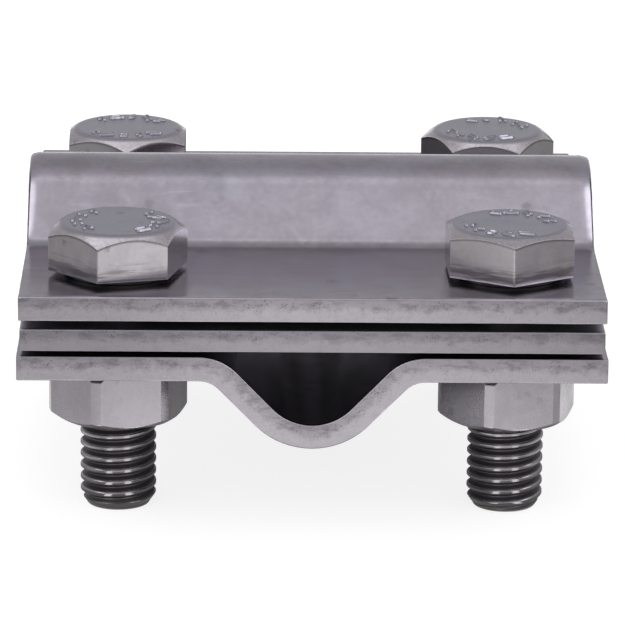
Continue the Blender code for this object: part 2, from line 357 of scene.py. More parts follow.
def noise(tree, vector, scale, detail=4.0, roughness=0.55, distortion=0.0):
    made = node(tree, "ShaderNodeTexNoise", {
        "Vector": vector, "Scale": scale, "Detail": detail, "Roughness": roughness, "Distortion": distortion,
    })
    return Wire(made.outputs["Fac"])


# Cloudy tone and dark marks of no regular shape, as acid pickling and handling leave them on every piece
clouding, given, out = shader_group(
    "pickled surface", {"Cloud scale": 150.0, "Speck scale": 900.0, "Speck share": 0.3}, ["Cloud", "Specks"]
)
place = stretched(clouding, (1.0, 1.0, 1.0))
broad = noise(clouding, place, given["Cloud scale"], 5.0, 0.6, 0.4)
fine = noise(clouding, place, given["Cloud scale"] * 7.0, 3.0, 0.6)
feed(out.inputs["Cloud"], smooth_step(broad * 0.72 + fine * 0.28, 0.32, 0.68))
warp = node(clouding, "ShaderNodeTexNoise", {
    "Vector": place, "Scale": given["Speck scale"] * 1.7, "Detail": 3.0,
})
warp = node(clouding, "ShaderNodeVectorMath", {
    0: warp.outputs["Color"], 1: (0.5, 0.5, 0.5),
}, operation="SUBTRACT")
warp = node(clouding, "ShaderNodeVectorMath", {0: warp.outputs[0]}, operation="SCALE")
feed(warp.inputs["Scale"], calculated(clouding, "DIVIDE", 1.1, given["Speck scale"]))
bent = node(clouding, "ShaderNodeVectorMath", {0: place, 1: warp.outputs[0]}, operation="ADD").outputs[0]
grains = node(clouding, "ShaderNodeTexVoronoi", {
    "Vector": bent, "Scale": given["Speck scale"], "Randomness": 1.0,
})
chance = node(clouding, "ShaderNodeSeparateColor", {"Color": grains.outputs["Color"]}).outputs[0]
chosen = given["Speck share"].math("GREATER_THAN", chance)
spot = 1.0 - smooth_step(Wire(grains.outputs["Distance"]), 0.10, 0.52)
patch = smooth_step(noise(clouding, place, given["Speck scale"] * 0.22, 2.0), 0.40, 0.62)
feed(out.inputs["Specks"], spot * chosen * patch)

# Fine parallel lines, as the mill's rolls or a die leave them
lining, given, out = shader_group(
    "drawn lines", {"Stretch": (1.0, 1.0, 1.0), "Scale": 1500.0}, ["Lines"]
)
place = node(lining, "ShaderNodeTexCoord").outputs["Object"]
place = node(lining, "ShaderNodeVectorMath", {
    0: place, 1: given["Stretch"],
}, operation="MULTIPLY").outputs[0]
close = noise(lining, place, given["Scale"], 3.0, 0.65)
wide = noise(lining, place, given["Scale"] * 0.21, 2.0, 0.5)
feed(out.inputs["Lines"], close * 0.6 + wide * 0.4)


def placed_group(tree, group, **values):
    made = node(tree, "ShaderNodeGroup", node_tree=group)
    for label, value in values.items():
        feed(made.inputs[label.replace("_", " ").capitalize()], value)
    return {socket.name: Wire(socket) for socket in made.outputs}


def mixed(tree, share, first, second):
    """Between two colours, or between two wires that carry colours."""
    made = node(tree, "ShaderNodeMix", {"Factor": share}, data_type="RGBA")
    for socket, colour in ((made.inputs[6], first), (made.inputs[7], second)):
        feed(socket, (*colour, 1.0) if isinstance(colour, tuple) else colour)
    return made.outputs[2]


def metal(name):
    """A new metal.  Returns the material, its tree and its Principled shader."""
    made = bpy.data.materials.new(name)
    made.use_nodes = True
    shader = made.node_tree.nodes["Principled BSDF"]
    shader.inputs["Metallic"].default_value = 1.0
    return made, made.node_tree, shader


def attribute(tree, name):
    return Wire(node(tree, "ShaderNodeAttribute", attribute_name=name).outputs["Fac"])


def bumped(tree, height, depth, strength, below=None):
    made = node(tree, "ShaderNodeBump", {"Height": height, "Distance": depth, "Strength": strength})
    if below is not None:
        feed(made.inputs["Normal"], below)
    return made.outputs[0]


def sheet_steel(name, face, shadow, edge_share, grain, roughness):
    """Rolled and pickled sheet.  Its sheared edges are smooth on one side, dark and torn on the other."""
    made, tree, shader = metal(name)
    skin = placed_group(tree, clouding, cloud_scale=190.0, speck_scale=520.0, speck_share=0.05)
    pits = placed_group(tree, clouding, cloud_scale=900.0, speck_scale=3800.0, speck_share=0.55)
    rolled = placed_group(tree, lining, stretch=grain, scale=1400.0)["Lines"]
    torn = placed_group(tree, lining, stretch=(1.0, 1.0, 0.28), scale=2300.0)["Lines"]
    wide = stretched(tree, (1.0, 1.0, 1.0))
    stain = smooth_step(noise(tree, wide, 95.0, 3.0, 0.5), 0.60, 0.74)
    rubbed = stretched(tree, (0.10, 1.0, 1.0), (0.0, 0.0, 0.12))
    scuff = smooth_step(noise(tree, rubbed, 1100.0, 2.0), 0.62, 0.80)
    tint = smooth_step(noise(tree, wide, 60.0, 2.0), 0.35, 0.65)

    cool = tuple(channel * share for channel, share in zip(face, (0.96, 1.00, 1.03)))
    colour = mixed(tree, tint, face, cool)
    colour = mixed(tree, (1.0 - skin["Cloud"]) * 0.9, colour, shadow)
    colour = mixed(tree, stain * 0.35 + skin["Specks"] * 0.5, colour, (0.16, 0.15, 0.17))
    colour = mixed(tree, scuff * 0.25, colour, (0.62, 0.60, 0.63))

    sheared = smooth_step(attribute(tree, "sheared"), 0.25, 0.75)
    smear = smooth_step(noise(tree, stretched(tree, (0.35, 0.35, 1.0)), 1500.0, 4.0, 0.65), 0.46, 0.66)
    broken = smooth_step(attribute(tree, "broken") + (pits["Cloud"] - 0.5) * 0.28, 0.35, 0.72)
    grit = noise(tree, wide, 5200.0, 2.0, 0.7)
    smooth_half, torn_half = [
        tuple(channel * edge_share for channel in tone)
        for tone in ((0.475, 0.445, 0.480), (0.31, 0.29, 0.315))
    ]
    edge = mixed(tree, broken * 0.8 + smear * 0.2, smooth_half, torn_half)
    edge = mixed(tree, smooth_step(grit, 0.52, 0.72) * 0.35, edge, (0.22, 0.205, 0.225))
    edge = mixed(tree, torn * 0.30, edge, (0.50, 0.475, 0.51))
    edge = mixed(tree, smear * broken * 0.5, edge, (0.19, 0.18, 0.195))
    edge = mixed(tree, pits["Specks"] * (broken * 0.60 + 0.12), edge, (0.10, 0.095, 0.105))
    feed(shader.inputs["Base Color"], mixed(tree, sheared, colour, edge))
    flat_rough = skin["Cloud"] * -0.06 + rolled * 0.10 + roughness
    edge_rough = pits["Cloud"] * 0.10 + 0.42
    feed(shader.inputs["Roughness"], flat_rough + sheared * (edge_rough - flat_rough))
    relief = rolled * (1.0 - sheared) * 0.4 + torn * sheared - pits["Specks"] * sheared * 0.8
    feed(shader.inputs["Normal"], bumped(tree, relief, 0.00003, 0.5))
    return made


plate_steel = sheet_steel(
    "pickled sheet steel", face=(0.445, 0.412, 0.452), shadow=(0.335, 0.308, 0.340), edge_share=1.0,
    grain=(0.06, 1.0, 1.0), roughness=0.20,
)
press, finish = plate_tree(97, 131, 11)
finish.inputs["Material"].default_value = plate_steel
pressing = {
    "Length": PLATE_LENGTH, "Width": PLATE_WIDTH, "Sheet": PLATE_SHEET, "Groove depth": GROOVE_DEPTH,
    "Wall slope": GROOVE_SLOPE, "Groove radius": GROOVE_RADIUS, "Shoulder radius": SHOULDER_RADIUS,
    "Burr rim": 0.00013, "Droop reach": 0.0012, "Ragged edge": 0.00003, "Hole spacing": HOLE_SPACING,
    "Hole diameter": HOLE_DIAMETER,
}


def settled(name, mesh, smooth_below=radians(32)):
    """An object at the origin that shows the mesh, shaded smooth but for its sharp edges."""
    mesh.shade_smooth()
    mesh.set_sharp_from_angle(angle=smooth_below)
    piece = bpy.data.objects.new(name, mesh)
    scene.collection.objects.link(piece)
    return piece


for name, stand, turn, broken_side, rim, droop in (
    ("top_plate", TOP_PLATE_Z, (0.0, 0.0, 0.0), 1.0, 0.00030, 0.00030),
    ("bottom_plate", BOTTOM_PLATE_Z, (pi, 0.0, pi / 2), -0.8, 0.00015, 0.00008),
):
    own = {
        "Place": (0.0, 0.0, stand), "Turn": turn, "Broken side": broken_side,
        "Rolled rim": rim, "Ridge droop": droop,
    }
    plate = settled(name + "_pressing", grown(name, press, {**pressing, **own}))
    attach(plate, name)
    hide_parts(name)


# The separator plate
#
# A flat square of slightly thinner stainless sheet with the same four holes, sheared but not pressed.
# It lies loose between the two grooves, so that each conductor has its own bed.

low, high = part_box("middle_plate")
separator_steel = sheet_steel(
    "separator sheet steel", face=(0.42, 0.40, 0.43), shadow=(0.36, 0.34, 0.37), edge_share=0.76,
    grain=(1.0, 0.06, 1.0), roughness=0.32,
)
press, finish = plate_tree(97, 97, 11)
finish.inputs["Material"].default_value = separator_steel
flat_sheet = {
    "Length": high.x - low.x, "Width": high.y - low.y, "Sheet": high.z - low.z, "Rolled rim": 0.00026,
    "Burr rim": 0.00010, "Ridge droop": 0.0, "Ragged edge": 0.00003, "Hole spacing": HOLE_SPACING,
    "Hole diameter": HOLE_DIAMETER, "Place": (0.0, 0.0, low.z),
}
separator = settled("separator_sheet", grown("middle_plate", press, flat_sheet))
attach(separator, "middle_plate")
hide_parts("middle_plate")


# The four screws
#
# M8 hexagon head screws, threaded up to the head: cold headed from stainless wire, then rolled.
# Each hangs by its head on the top plate, and its nut holds it there.

SCREW_FORMS = {             # turn of the head, slope of its chamfer, turn of the thread, turn of the strokes
    "front_left": (-15.0, 38.5, 108.0, 10.0),
    "front_right": (1.3, 24.0, -47.0, 60.0),
    "back_left": (0.0, 38.5, 70.0, 85.0),
    "back_right": (26.0, 38.5, 230.0, 40.0),
}
SCREW_LENGTH, PITCH = 0.0250, 0.00125
THREAD_RADIUS, ROOT_RADIUS, NECK_RADIUS, POINT_RADIUS = 0.00395, 0.00330, 0.00372, 0.00322
POINT_RISE = 0.0011             # height of the chamfer at the screw's end
THREAD_ROUND, ROWS_A_TURN = 64, 20
HEAD_FLAT = 0.0064              # from the axis to a flat
HEAD_TOP, HEAD_UNDERSIDE = 0.0303, 0.0255
HEAD_DISC, HEAD_BEND = 0.0054, 0.0012
HEAD_EDGE = 0.00008             # of the rounding between the chamfer and a flat
HEAD_PLAIN, HEAD_ROWED, HEAD_ROWS = 0.0014, 0.0028, 30  # the top is plain inside, and has fine rows outside
BEARING_RADIUS, BEARING_ROUND = 0.0058, 0.00006
THREAD_FORM = (0.08, 0.48)      # where the crest ends and the root starts, as shares of the pitch
LAND_FORM = (0.16, 0.26)        # where the crest's painted highlight fades into the flanks' painted shade
LIP_PLACE, LIP_HALF = 0.19, 0.06                # the painted highlight line along each crest
RUN_OUT = 1.2                   # pitches over which the thread fades towards the head
STROKE_ROWS = (0.00040, -0.00036)               # each bow has two rows of strokes, out and in of its ring
CORNER_WEAR = 0.15              # how bright the corners of a head or nut are rubbed
SAME, MERGE = 0.000001, 0.0000005


def thread_tree():
    """A right-hand thread as a sleeve whose rows of faces climb with the helix, from z = 0 upwards."""
    tree, size, out = growth_tree("rolled thread", {
        "Length": 0.025, "Pitch": 0.00125, "Crest radius": 0.00395, "Root radius": 0.0033,
        "Neck radius": 0.0037, "Point radius": 0.0032, "Point rise": 0.001,
    })
    turns = round(SCREW_LENGTH / PITCH) + 1
    grid = node(tree, "GeometryNodeMeshGrid", {
        "Size X": 1.0, "Size Y": 1.0, "Vertices X": THREAD_ROUND + 1, "Vertices Y": turns * ROWS_A_TURN + 1,
    })
    x, y, _ = parts_of(tree, node(tree, "GeometryNodeInputPosition").outputs[0])
    round_share = x + 0.5
    climbed = (y + 0.5) * float(turns)
    z_free = (climbed - 1.0 + round_share) * size["Pitch"]
    z = z_free.between(0.0, size["Length"])
    phase = (climbed + 0.0001).math("FRACT")
    aside = 0.5 - (phase - 0.5).math("ABSOLUTE")
    thread_height = size["Crest radius"] - size["Root radius"]
    form = size["Root radius"] + thread_height * (1.0 - smooth_step(aside, *THREAD_FORM))
    land = 1.0 - smooth_step(aside, *LAND_FORM)
    # A painted highlight line along each crest.
    lip = (1.0 - (aside - LIP_PLACE).math("ABSOLUTE") / LIP_HALF).at_least(0.0)
    run_out = ((size["Length"] - z) / (size["Pitch"] * RUN_OUT)).at_most(1.0)
    form = size["Neck radius"] + (form - size["Neck radius"]) * run_out
    point = size["Point radius"] + z / size["Point rise"] * (size["Crest radius"] - size["Point radius"])
    radius = form.at_most(point)
    angle = round_share * (2 * pi)
    sleeve = moved(tree, grid.outputs["Mesh"], combined(
        tree, radius * angle.math("COSINE"), radius * angle.math("SINE"), z,
    ))
    deep = (size["Crest radius"] - radius) / thread_height
    marked = stored(tree, grid.outputs["Mesh"], "thread depth", deep.between(0.0, 1.0) * 0.9 + 0.1)
    marked = stored(tree, marked, "land", land * run_out.between(0.0, 1.0))
    feed(sleeve.node.inputs["Geometry"], stored(tree, marked, "worn edge", lip * run_out.between(0.0, 1.0)))
    joined = node(tree, "GeometryNodeMergeByDistance", {"Geometry": sleeve, "Distance": 0.000004})
    real = node(tree, "GeometryNodeRealizeInstances", {"Geometry": joined.outputs[0]})
    finish = node(tree, "GeometryNodeSetMaterial", {"Geometry": real.outputs[0]})
    feed(out.inputs["Mesh"], finish.outputs[0])
    return tree, finish


def stamp_tree():
    """Raised bars and dots on the head's flat top, in two bows on its left and its right."""
    tree, size, out = growth_tree("head strokes", {
        "Ring radius": 0.00425, "Bar": 0.0013, "Stroke width": 0.00031, "Stroke height": 0.00022,
        "Count": 10, "Bow": 5.0, "Step": 0.42, "Turn": 0.0, "Top": 0.0303, "Seed": 1,
    }, takes_mesh=True)
    index = Wire(node(tree, "GeometryNodeInputIndex").outputs[0])
    bow = (index / size["Bow"]).math("FLOOR")
    in_bow = index - bow * size["Bow"] - (size["Bow"] - 1.0) * 0.5
    angle = bow * pi + in_bow * size["Step"] + size["Turn"]

    def chance(order):
        pick = node(tree, "FunctionNodeRandomValue", {"Seed": size["Seed"] + float(order)}, data_type="FLOAT")
        return Wire(pick.outputs[1])

    bar = node(tree, "GeometryNodeMeshLine", {
        "Count": 2, "Start Location": combined(tree, size["Bar"] * -0.5, 0.0, 0.0),
        "Offset": combined(tree, size["Bar"], 0.0, 0.0),
    })
    every = node(tree, "GeometryNodeJoinGeometry")
    slant = ((chance(9) * 3.0).math("FLOOR") - 1.0) * 0.7
    for order, outward in enumerate(STROKE_ROWS):
        ring = size["Ring radius"] + outward
        dots = node(tree, "GeometryNodePoints", {"Count": size["Count"]}).outputs[0]
        placed = moved(tree, dots, combined(
            tree, ring * angle.math("COSINE"), ring * angle.math("SINE"), size["Top"],
        ))
        strokes = node(tree, "GeometryNodeInstanceOnPoints", {
            "Points": placed, "Instance": bar.outputs["Mesh"],
        })
        reach = (chance(order + 5) * 4.0).math("FLOOR") * 0.33 + 0.04
        feed(strokes.inputs["Rotation"], combined(tree, 0.0, 0.0, angle + slant + pi / 2))
        feed(strokes.inputs["Scale"], combined(tree, reach, 1.0, 1.0))
        tree.links.new(strokes.outputs[0], every.inputs[0])
    lines = node(tree, "GeometryNodeRealizeInstances", {"Geometry": every.outputs[0]})
    near = node(tree, "GeometryNodeProximity", target_element="EDGES")
    feed(near.inputs[0], lines.outputs[0])
    gap = Wire(near.outputs["Distance"])
    raised = 1.0 - smooth_step(gap, size["Stroke width"] * 0.30, size["Stroke width"])
    x, y, z = parts_of(tree, node(tree, "GeometryNodeInputPosition").outputs[0])
    raised = raised * z.math("GREATER_THAN", size["Top"] - 0.00002)
    marked = stored(tree, size["Mesh"], "stroke", raised)
    stamped = moved(tree, marked, combined(tree, x, y, z + raised * size["Stroke height"]))
    real = node(tree, "GeometryNodeRealizeInstances", {"Geometry": stamped})
    finish = node(tree, "GeometryNodeSetMaterial", {"Geometry": real.outputs[0]})
    feed(out.inputs["Mesh"], finish.outputs[0])
    return tree, finish


def rounded_corner(flat, radius, steps):
    """A hexagon's rounded corner as (angle, reach) pairs from the axis, about the corner's own direction."""
    centre = (flat - radius) / cos(pi / 6)
    turns = [pi / 3 * step / steps - pi / 6 for step in range(steps + 1)]
    points = [(centre + radius * cos(turn), radius * sin(turn)) for turn in turns]
    return [(atan2(y, x), hypot(x, y)) for x, y in points]


def turned_corner(flat, reach, steps):
    """A hexagon's corner that was turned off to a round."""
    half = pi / 6 - acos(flat / reach)
    return [(half * (2 * step / steps - 1), reach) for step in range(steps + 1)]


def hexagon_rays(flat, corner, flat_steps):
    """The hexagon's outline as (angle, reach, wear), where wear is 1 at the corners."""
    rays = []
    for side in range(6):
        middle = side * pi / 3 - pi / 2
        rays += [(middle + angle, reach, 1.0) for angle, reach in corner]
        half = tan(pi / 6 - corner[-1][0])
        for step in range(1, flat_steps):
            across = half * (2 * step / flat_steps - 1)
            rays.append((middle + pi / 6 + atan(across), flat * hypot(1.0, across), 0.0))
    return rays


def turned_between(rays, profile):
    """A body whose section along each ray is the profile for that ray's reach, as (radius, height, wear and
    painted edge light).
    """
    bm = bmesh.new()
    worn = bm.verts.layers.float.new("worn edge")
    columns = []
    for angle, reach, corner_wear in rays:
        column = []
        for radius, z, wear in profile(reach):
            vert = bm.verts.new((radius * cos(angle), radius * sin(angle), z))
            vert[worn] = wear or (corner_wear * CORNER_WEAR if radius > reach - SAME else 0.0)
            column.append(vert)
        columns.append(column)
    for column, following in zip(columns, columns[1:] + columns[:1]):
        for row in range(len(column) - 1):
            bm.faces.new((column[row], column[row + 1], following[row + 1], following[row]))
    bmesh.ops.remove_doubles(bm, verts=bm.verts, dist=MERGE)
    return bm


def head_profile(slope):
    """The profile of a head with this chamfer: over its top, down a flat and in to the neck of the shank."""
    edge = HEAD_EDGE
    rows = [HEAD_ROWED + (HEAD_DISC - HEAD_ROWED) * step / HEAD_ROWS for step in range(HEAD_ROWS + 1)]
    bend = [slope * step / 4 for step in range(1, 5)]
    top = [(radius, HEAD_TOP, 0.0) for radius in (0.0, HEAD_PLAIN, *rows)]
    top += [(HEAD_DISC + HEAD_BEND * sin(turn), HEAD_TOP - HEAD_BEND * (1 - cos(turn)), 0.0) for turn in bend]
    start, height, _ = top[-1]

    def profile(reach):
        outer = reach - edge
        drop = (outer - start) * tan(slope)
        # The third value of each point is wear and painted edge light: the chamfer's 0.45 lightens it as
        # rubbed wear and as a painted highlight.
        chamfer = [
            (start + (outer - start) * share, height - drop * share, 0.45) for share in (0.1, 0.5, 0.85)
        ]
        side_top, foot = height - drop - edge * 1.3, HEAD_UNDERSIDE + edge
        side = [(reach, side_top + (foot - side_top) * share, 0.0) for share in (0.06, 0.3, 0.6, 0.94)]
        under = [
            (reach, foot, 0.25), (reach - edge * 0.3, HEAD_UNDERSIDE + edge * 0.3, 0.25),
            (reach - edge, HEAD_UNDERSIDE, 0.0),
            (BEARING_RADIUS + 0.0001, HEAD_UNDERSIDE, 0.0), (BEARING_RADIUS, HEAD_UNDERSIDE - 0.0001, 0.0),
            (BEARING_RADIUS, SCREW_LENGTH + BEARING_ROUND, 0.0),
            (BEARING_RADIUS - BEARING_ROUND, SCREW_LENGTH, 0.0),
            (NECK_RADIUS + 0.0003, SCREW_LENGTH, 0.0),
        ]
        # The chamfer's outer edge, at 0.9 and 0.6, is a painted highlight line, and the top of the flat under
        # it, at -1, is a painted dark line of shade.
        return top + chamfer + [
            (outer, height - drop, 0.9), (reach - edge * 0.28, height - drop - edge * 0.4, 0.6),
            (reach, side_top, -1.0), *side, *under,
        ]
    return profile


def screw_metal():
    """Cold headed wire: satin on the head, bright where worn, with painted highlights on the chamfer and
    along the thread's crests, and painted shade in the thread and at the seat.
    """
    made, tree, shader = metal("cold headed steel")
    skin = placed_group(tree, clouding, cloud_scale=330.0, speck_scale=900.0, speck_share=0.10)
    drawn = placed_group(tree, lining, stretch=(1.0, 1.0, 0.10), scale=1700.0)["Lines"]
    rubbed = placed_group(tree, lining, stretch=(0.10, 0.10, 1.0), scale=2100.0)["Lines"]
    z = parts_of(tree, stretched(tree, (1.0, 1.0, 1.0)))[2]
    worn, depth = attribute(tree, "worn edge"), attribute(tree, "thread depth")
    chipped = smooth_step(noise(tree, stretched(tree, (1.0, 1.0, 1.0)), 2600.0, 3.0), 0.30, 0.60)

    head = mixed(tree, skin["Cloud"] * 0.7 + drawn * 0.3, (0.405, 0.380, 0.402), (0.510, 0.482, 0.508))
    on_top = smooth_step(z, HEAD_TOP - 0.0003, HEAD_TOP - 0.00005)
    head = mixed(tree, on_top * 0.8, head, (0.345, 0.340, 0.390))
    low = 1.0 - smooth_step(z, HEAD_UNDERSIDE + 0.0008, HEAD_UNDERSIDE + 0.0026)
    head = mixed(tree, smooth_step(rubbed, 0.48, 0.60) * low * 0.65, head, (0.10, 0.09, 0.10))
    head = mixed(tree, skin["Specks"] * 0.5, head, (0.06, 0.05, 0.06))
    # Positive values lighten: rubbed wear at the corners, and painted highlight on the chamfer, along its
    # outer edge and along the thread's crests.
    head = mixed(tree, worn.at_least(0.0) * (chipped * 0.7 + 0.1), head, (0.72, 0.69, 0.70))
    # Negative values darken: a painted dark line of shade along the top of each flat, under the chamfer.
    head = mixed(tree, (worn * -1.0).at_least(0.0) * 0.75, head, (0.09, 0.085, 0.09))
    stroke = attribute(tree, "stroke")
    # The sloping rims of the raised strokes are painted darker: painted shade round the strokes.
    rim_of_stroke = (stroke * (1.0 - stroke) * 4.0).at_least(0.0)
    head = mixed(tree, rim_of_stroke * 0.30, head, (0.20, 0.19, 0.21))
    # The seat and bearing face under the head are painted near black: painted shade where the head meets the
    # plate.
    seat = 1.0 - smooth_step(z, HEAD_UNDERSIDE - 0.00003, HEAD_UNDERSIDE + 0.00006)
    head = mixed(tree, seat * 0.92, head, (0.03, 0.03, 0.03))

    # The thread is painted dark on its flanks and roots as painted shade, and lighter on its crests as a
    # painted highlight.
    land = attribute(tree, "land")
    thread = mixed(tree, land, (0.115, 0.108, 0.115), (0.30, 0.285, 0.295))
    # The painted highlight line along each crest.
    thread = mixed(tree, worn.at_least(0.0) * (chipped * 0.3 + 0.3), thread, (0.60, 0.57, 0.59))
    # The point's chamfer is left lighter than the thread's painted shade.
    tip = 1.0 - smooth_step(z, 0.0009, 0.0014)
    thread = mixed(tree, tip * 0.6, thread, (0.30, 0.28, 0.29))
    threaded = smooth_step(depth, 0.0, 0.1)
    feed(shader.inputs["Base Color"], mixed(tree, threaded, head, thread))
    flank = threaded * (1.0 - land) * 0.30
    feed(shader.inputs["Roughness"], skin["Cloud"] * -0.05 + drawn * 0.08 + on_top * 0.10 + flank + 0.17)
    relief = drawn * 0.5 - skin["Specks"] + rubbed * low * 0.6
    feed(shader.inputs["Normal"], bumped(tree, relief, 0.00003, 0.45))
    return made


screw_steel = screw_metal()
threading, finish = thread_tree()
finish.inputs["Material"].default_value = screw_steel
stamping, finish = stamp_tree()
finish.inputs["Material"].default_value = screw_steel
thread = grown("thread", threading, {
    "Length": SCREW_LENGTH, "Pitch": PITCH, "Crest radius": THREAD_RADIUS, "Root radius": ROOT_RADIUS,
    "Neck radius": NECK_RADIUS, "Point radius": POINT_RADIUS, "Point rise": POINT_RISE,
})
head_rays = hexagon_rays(HEAD_FLAT, rounded_corner(HEAD_FLAT, 0.00011, 4), 40)


def open_edges(bm, height):
    return [
        edge for edge in bm.edges
        if edge.is_boundary and all(abs(vert.co.z - height) < 0.00001 for vert in edge.verts)
    ]


def whole_screw(name, head, thread_turn):
    """Head and thread in one skin, with the screw's end closed."""
    bm = bmesh.new()
    bm.from_mesh(thread)
    bmesh.ops.rotate(bm, verts=bm.verts, matrix=Matrix.Rotation(radians(thread_turn), 3, "Z"))
    bm.from_mesh(head)
    bmesh.ops.bridge_loops(bm, edges=open_edges(bm, SCREW_LENGTH))
    bmesh.ops.edgeloop_fill(bm, edges=open_edges(bm, 0.0))
    bmesh.ops.recalc_face_normals(bm, faces=bm.faces)
    mesh = bpy.data.meshes.new(name)
    bm.to_mesh(mesh)
    bm.free()
    mesh.materials.clear()
    mesh.materials.append(screw_steel)
    return mesh


for order, (name, place) in enumerate(SCREW_PLACES.items()):
    head_turn, slope, thread_turn, stroke_turn = SCREW_FORMS[name]
    body = turned_between(head_rays, head_profile(radians(slope)))
    blank = bpy.data.meshes.new("head")
    body.to_mesh(blank)
    body.free()
    strokes = {"Top": HEAD_TOP, "Turn": radians(stroke_turn), "Seed": 7 + 5 * order}
    head = grown("head", stamping, strokes, blank)
    mesh = whole_screw("screw_" + name, head, thread_turn)
    turn = Matrix.Rotation(radians(head_turn), 4, "Z")
    mesh.transform(Matrix.Translation((place.x, place.y, 0.0)) @ turn)
    screw = settled("screw_" + name, mesh)
    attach(screw, "bolt_" + name)
    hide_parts("bolt_" + name)


# The four nuts
#
# M8 hexagon nuts, cold forged from stainless bar, chamfered on both faces and tapped.
# Each runs on its screw and bears on the lower plate, and its corners are worn blunt.

NUT_SEAT = BOTTOM_PLATE_Z - PLATE_SHEET
NUT_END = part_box("nut_front_left")[0].z
NUT_FLAT, NUT_CORNER = 0.0065, 0.007225       # from the axis to a flat, and to a corner as it is turned off
NUT_SEAT_RADIUS, NUT_SEAT_SLOPE = 0.0058, radians(32)
NUT_DENT = 0.00028              # by which the worn corners fall short of the seat's chamfer
NUT_FACE_RADIUS, NUT_FACE_SLOPE = 0.0059, radians(30)
NUT_FACE_ROWS, NUT_FACE_CROWN = 7, 1.6          # rows of the free face's rounding, and its curve
NUT_BORE, NUT_MOUTH = 0.00403, 0.00045
NUT_EDGE = 0.00012              # of the rounding between a chamfer and a flat


def nut_profile(reach):
    """Round the nut's section: over its seat, down a flat, over its free face and up the bore."""
    edge = NUT_EDGE
    outer = reach - edge
    upper = NUT_SEAT - (outer - NUT_SEAT_RADIUS) * tan(NUT_SEAT_SLOPE)
    if reach > NUT_CORNER - SAME:
        upper -= NUT_DENT
    lower = NUT_END + (outer - NUT_FACE_RADIUS) * tan(NUT_FACE_SLOPE)
    side_top, side_foot = upper - edge, lower + edge
    sides = [(reach, side_top + (side_foot - side_top) * step / 4, 0.0) for step in range(5)]
    face = []
    for step in reversed(range(NUT_FACE_ROWS)):
        share = step / NUT_FACE_ROWS
        height = NUT_END + (lower - NUT_END) * share ** NUT_FACE_CROWN
        face.append((NUT_FACE_RADIUS + (outer - NUT_FACE_RADIUS) * share, height, 0.0))
    return [
        (NUT_BORE + NUT_MOUTH, NUT_SEAT, 0.0), (NUT_SEAT_RADIUS, NUT_SEAT, 0.0), (outer, upper, 0.3),
        (reach - edge * 0.3, upper - edge * 0.3, 0.3), *sides, (reach - edge * 0.3, lower + edge * 0.3, 0.4),
        (outer, lower, 0.4), *face, (NUT_BORE + NUT_MOUTH, NUT_END, 0.0),
        (NUT_BORE, NUT_END + NUT_MOUTH, 0.0), (NUT_BORE, NUT_SEAT - NUT_MOUTH, 0.0),
        (NUT_BORE + NUT_MOUTH, NUT_SEAT, 0.0),
    ]


def nut_metal():
    """Cold forged stainless, smoother than sheet, with dull spots and bright worn corners."""
    made, tree, shader = metal("cold forged steel")
    skin = placed_group(tree, clouding, cloud_scale=240.0, speck_scale=900.0, speck_share=0.10)
    smudge = smooth_step(noise(tree, stretched(tree, (1.0, 1.0, 0.7)), 210.0, 3.0, 0.5), 0.58, 0.72)
    drawn = placed_group(tree, lining, stretch=(1.0, 1.0, 0.2), scale=1500.0)["Lines"]
    worn = attribute(tree, "worn edge")
    chipped = smooth_step(noise(tree, stretched(tree, (1.0, 1.0, 1.0)), 1500.0, 3.0), 0.30, 0.60)
    colour = mixed(tree, skin["Cloud"] * 0.8 + drawn * 0.2, (0.365, 0.345, 0.375), (0.455, 0.430, 0.465))
    colour = mixed(tree, skin["Specks"] * 0.35 + smudge * 0.30, colour, (0.17, 0.16, 0.17))
    colour = mixed(tree, worn * (chipped * 0.5 + 0.4), colour, (0.56, 0.53, 0.55))
    feed(shader.inputs["Base Color"], colour)
    feed(shader.inputs["Roughness"], skin["Cloud"] * -0.07 + drawn * 0.10 + 0.25)
    feed(shader.inputs["Normal"], bumped(tree, drawn * 0.5 - skin["Specks"] * 0.5, 0.00003, 0.4))
    return made


nut_steel = nut_metal()
nut_rays = hexagon_rays(NUT_FLAT, turned_corner(NUT_FLAT, NUT_CORNER, 6), 14)
NUT_TURNS = {"front_left": -17.0, "front_right": -17.0, "back_left": 8.0, "back_right": -24.0}
for name, place in SCREW_PLACES.items():
    body = turned_between(nut_rays, nut_profile)
    bmesh.ops.recalc_face_normals(body, faces=body.faces)
    mesh = bpy.data.meshes.new("nut_" + name)
    body.to_mesh(mesh)
    body.free()
    mesh.materials.append(nut_steel)
    turn = Matrix.Rotation(radians(NUT_TURNS[name]), 4, "Z")
    mesh.transform(Matrix.Translation((place.x, place.y, 0.0)) @ turn)
    nut = settled("hexagon_nut_" + name, mesh, radians(20))
    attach(nut, "nut_" + name)
    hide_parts("nut_" + name)


# The studio
#
# A pale floor under one soft lamp and a plain pale sky.  Polished steel shows its surroundings, so only in
# reflections the sky has tones of its own, and a ring of grey cards gives each flat of the clamp its tone.

FLOOR_RADIUS, FLOOR_GREY, FLOOR_GLOW = 3.0, 0.36, 0.80
SKY_LIGHT = (0.82, 0.82, 0.83)  # what lights the floor
SKY_TINT = (0.995, 0.985, 1.03)
SKY_BEHIND, SKY_CLIMB = 0.52, 0.44              # tone behind the clamp, and how much more there is in front
ROOM_DIMMING = 0.6              # low in front, where the room is
DUSK_DIMMING = 0.90             # low at both sides, a little behind
SHADE_DIMMING = 0.10            # halfway up behind
SIDE_BOX_WAY, SIDE_BOX_EDGE, SIDE_BOX_TONE = (0.62, -0.25, 0.74), (0.88, 0.96), 1.5
TOP_BOX_PLACE, TOP_BOX_SIZE, TOP_BOX_TONE = (-0.10, 0.07), (0.34, 0.12), 0.32

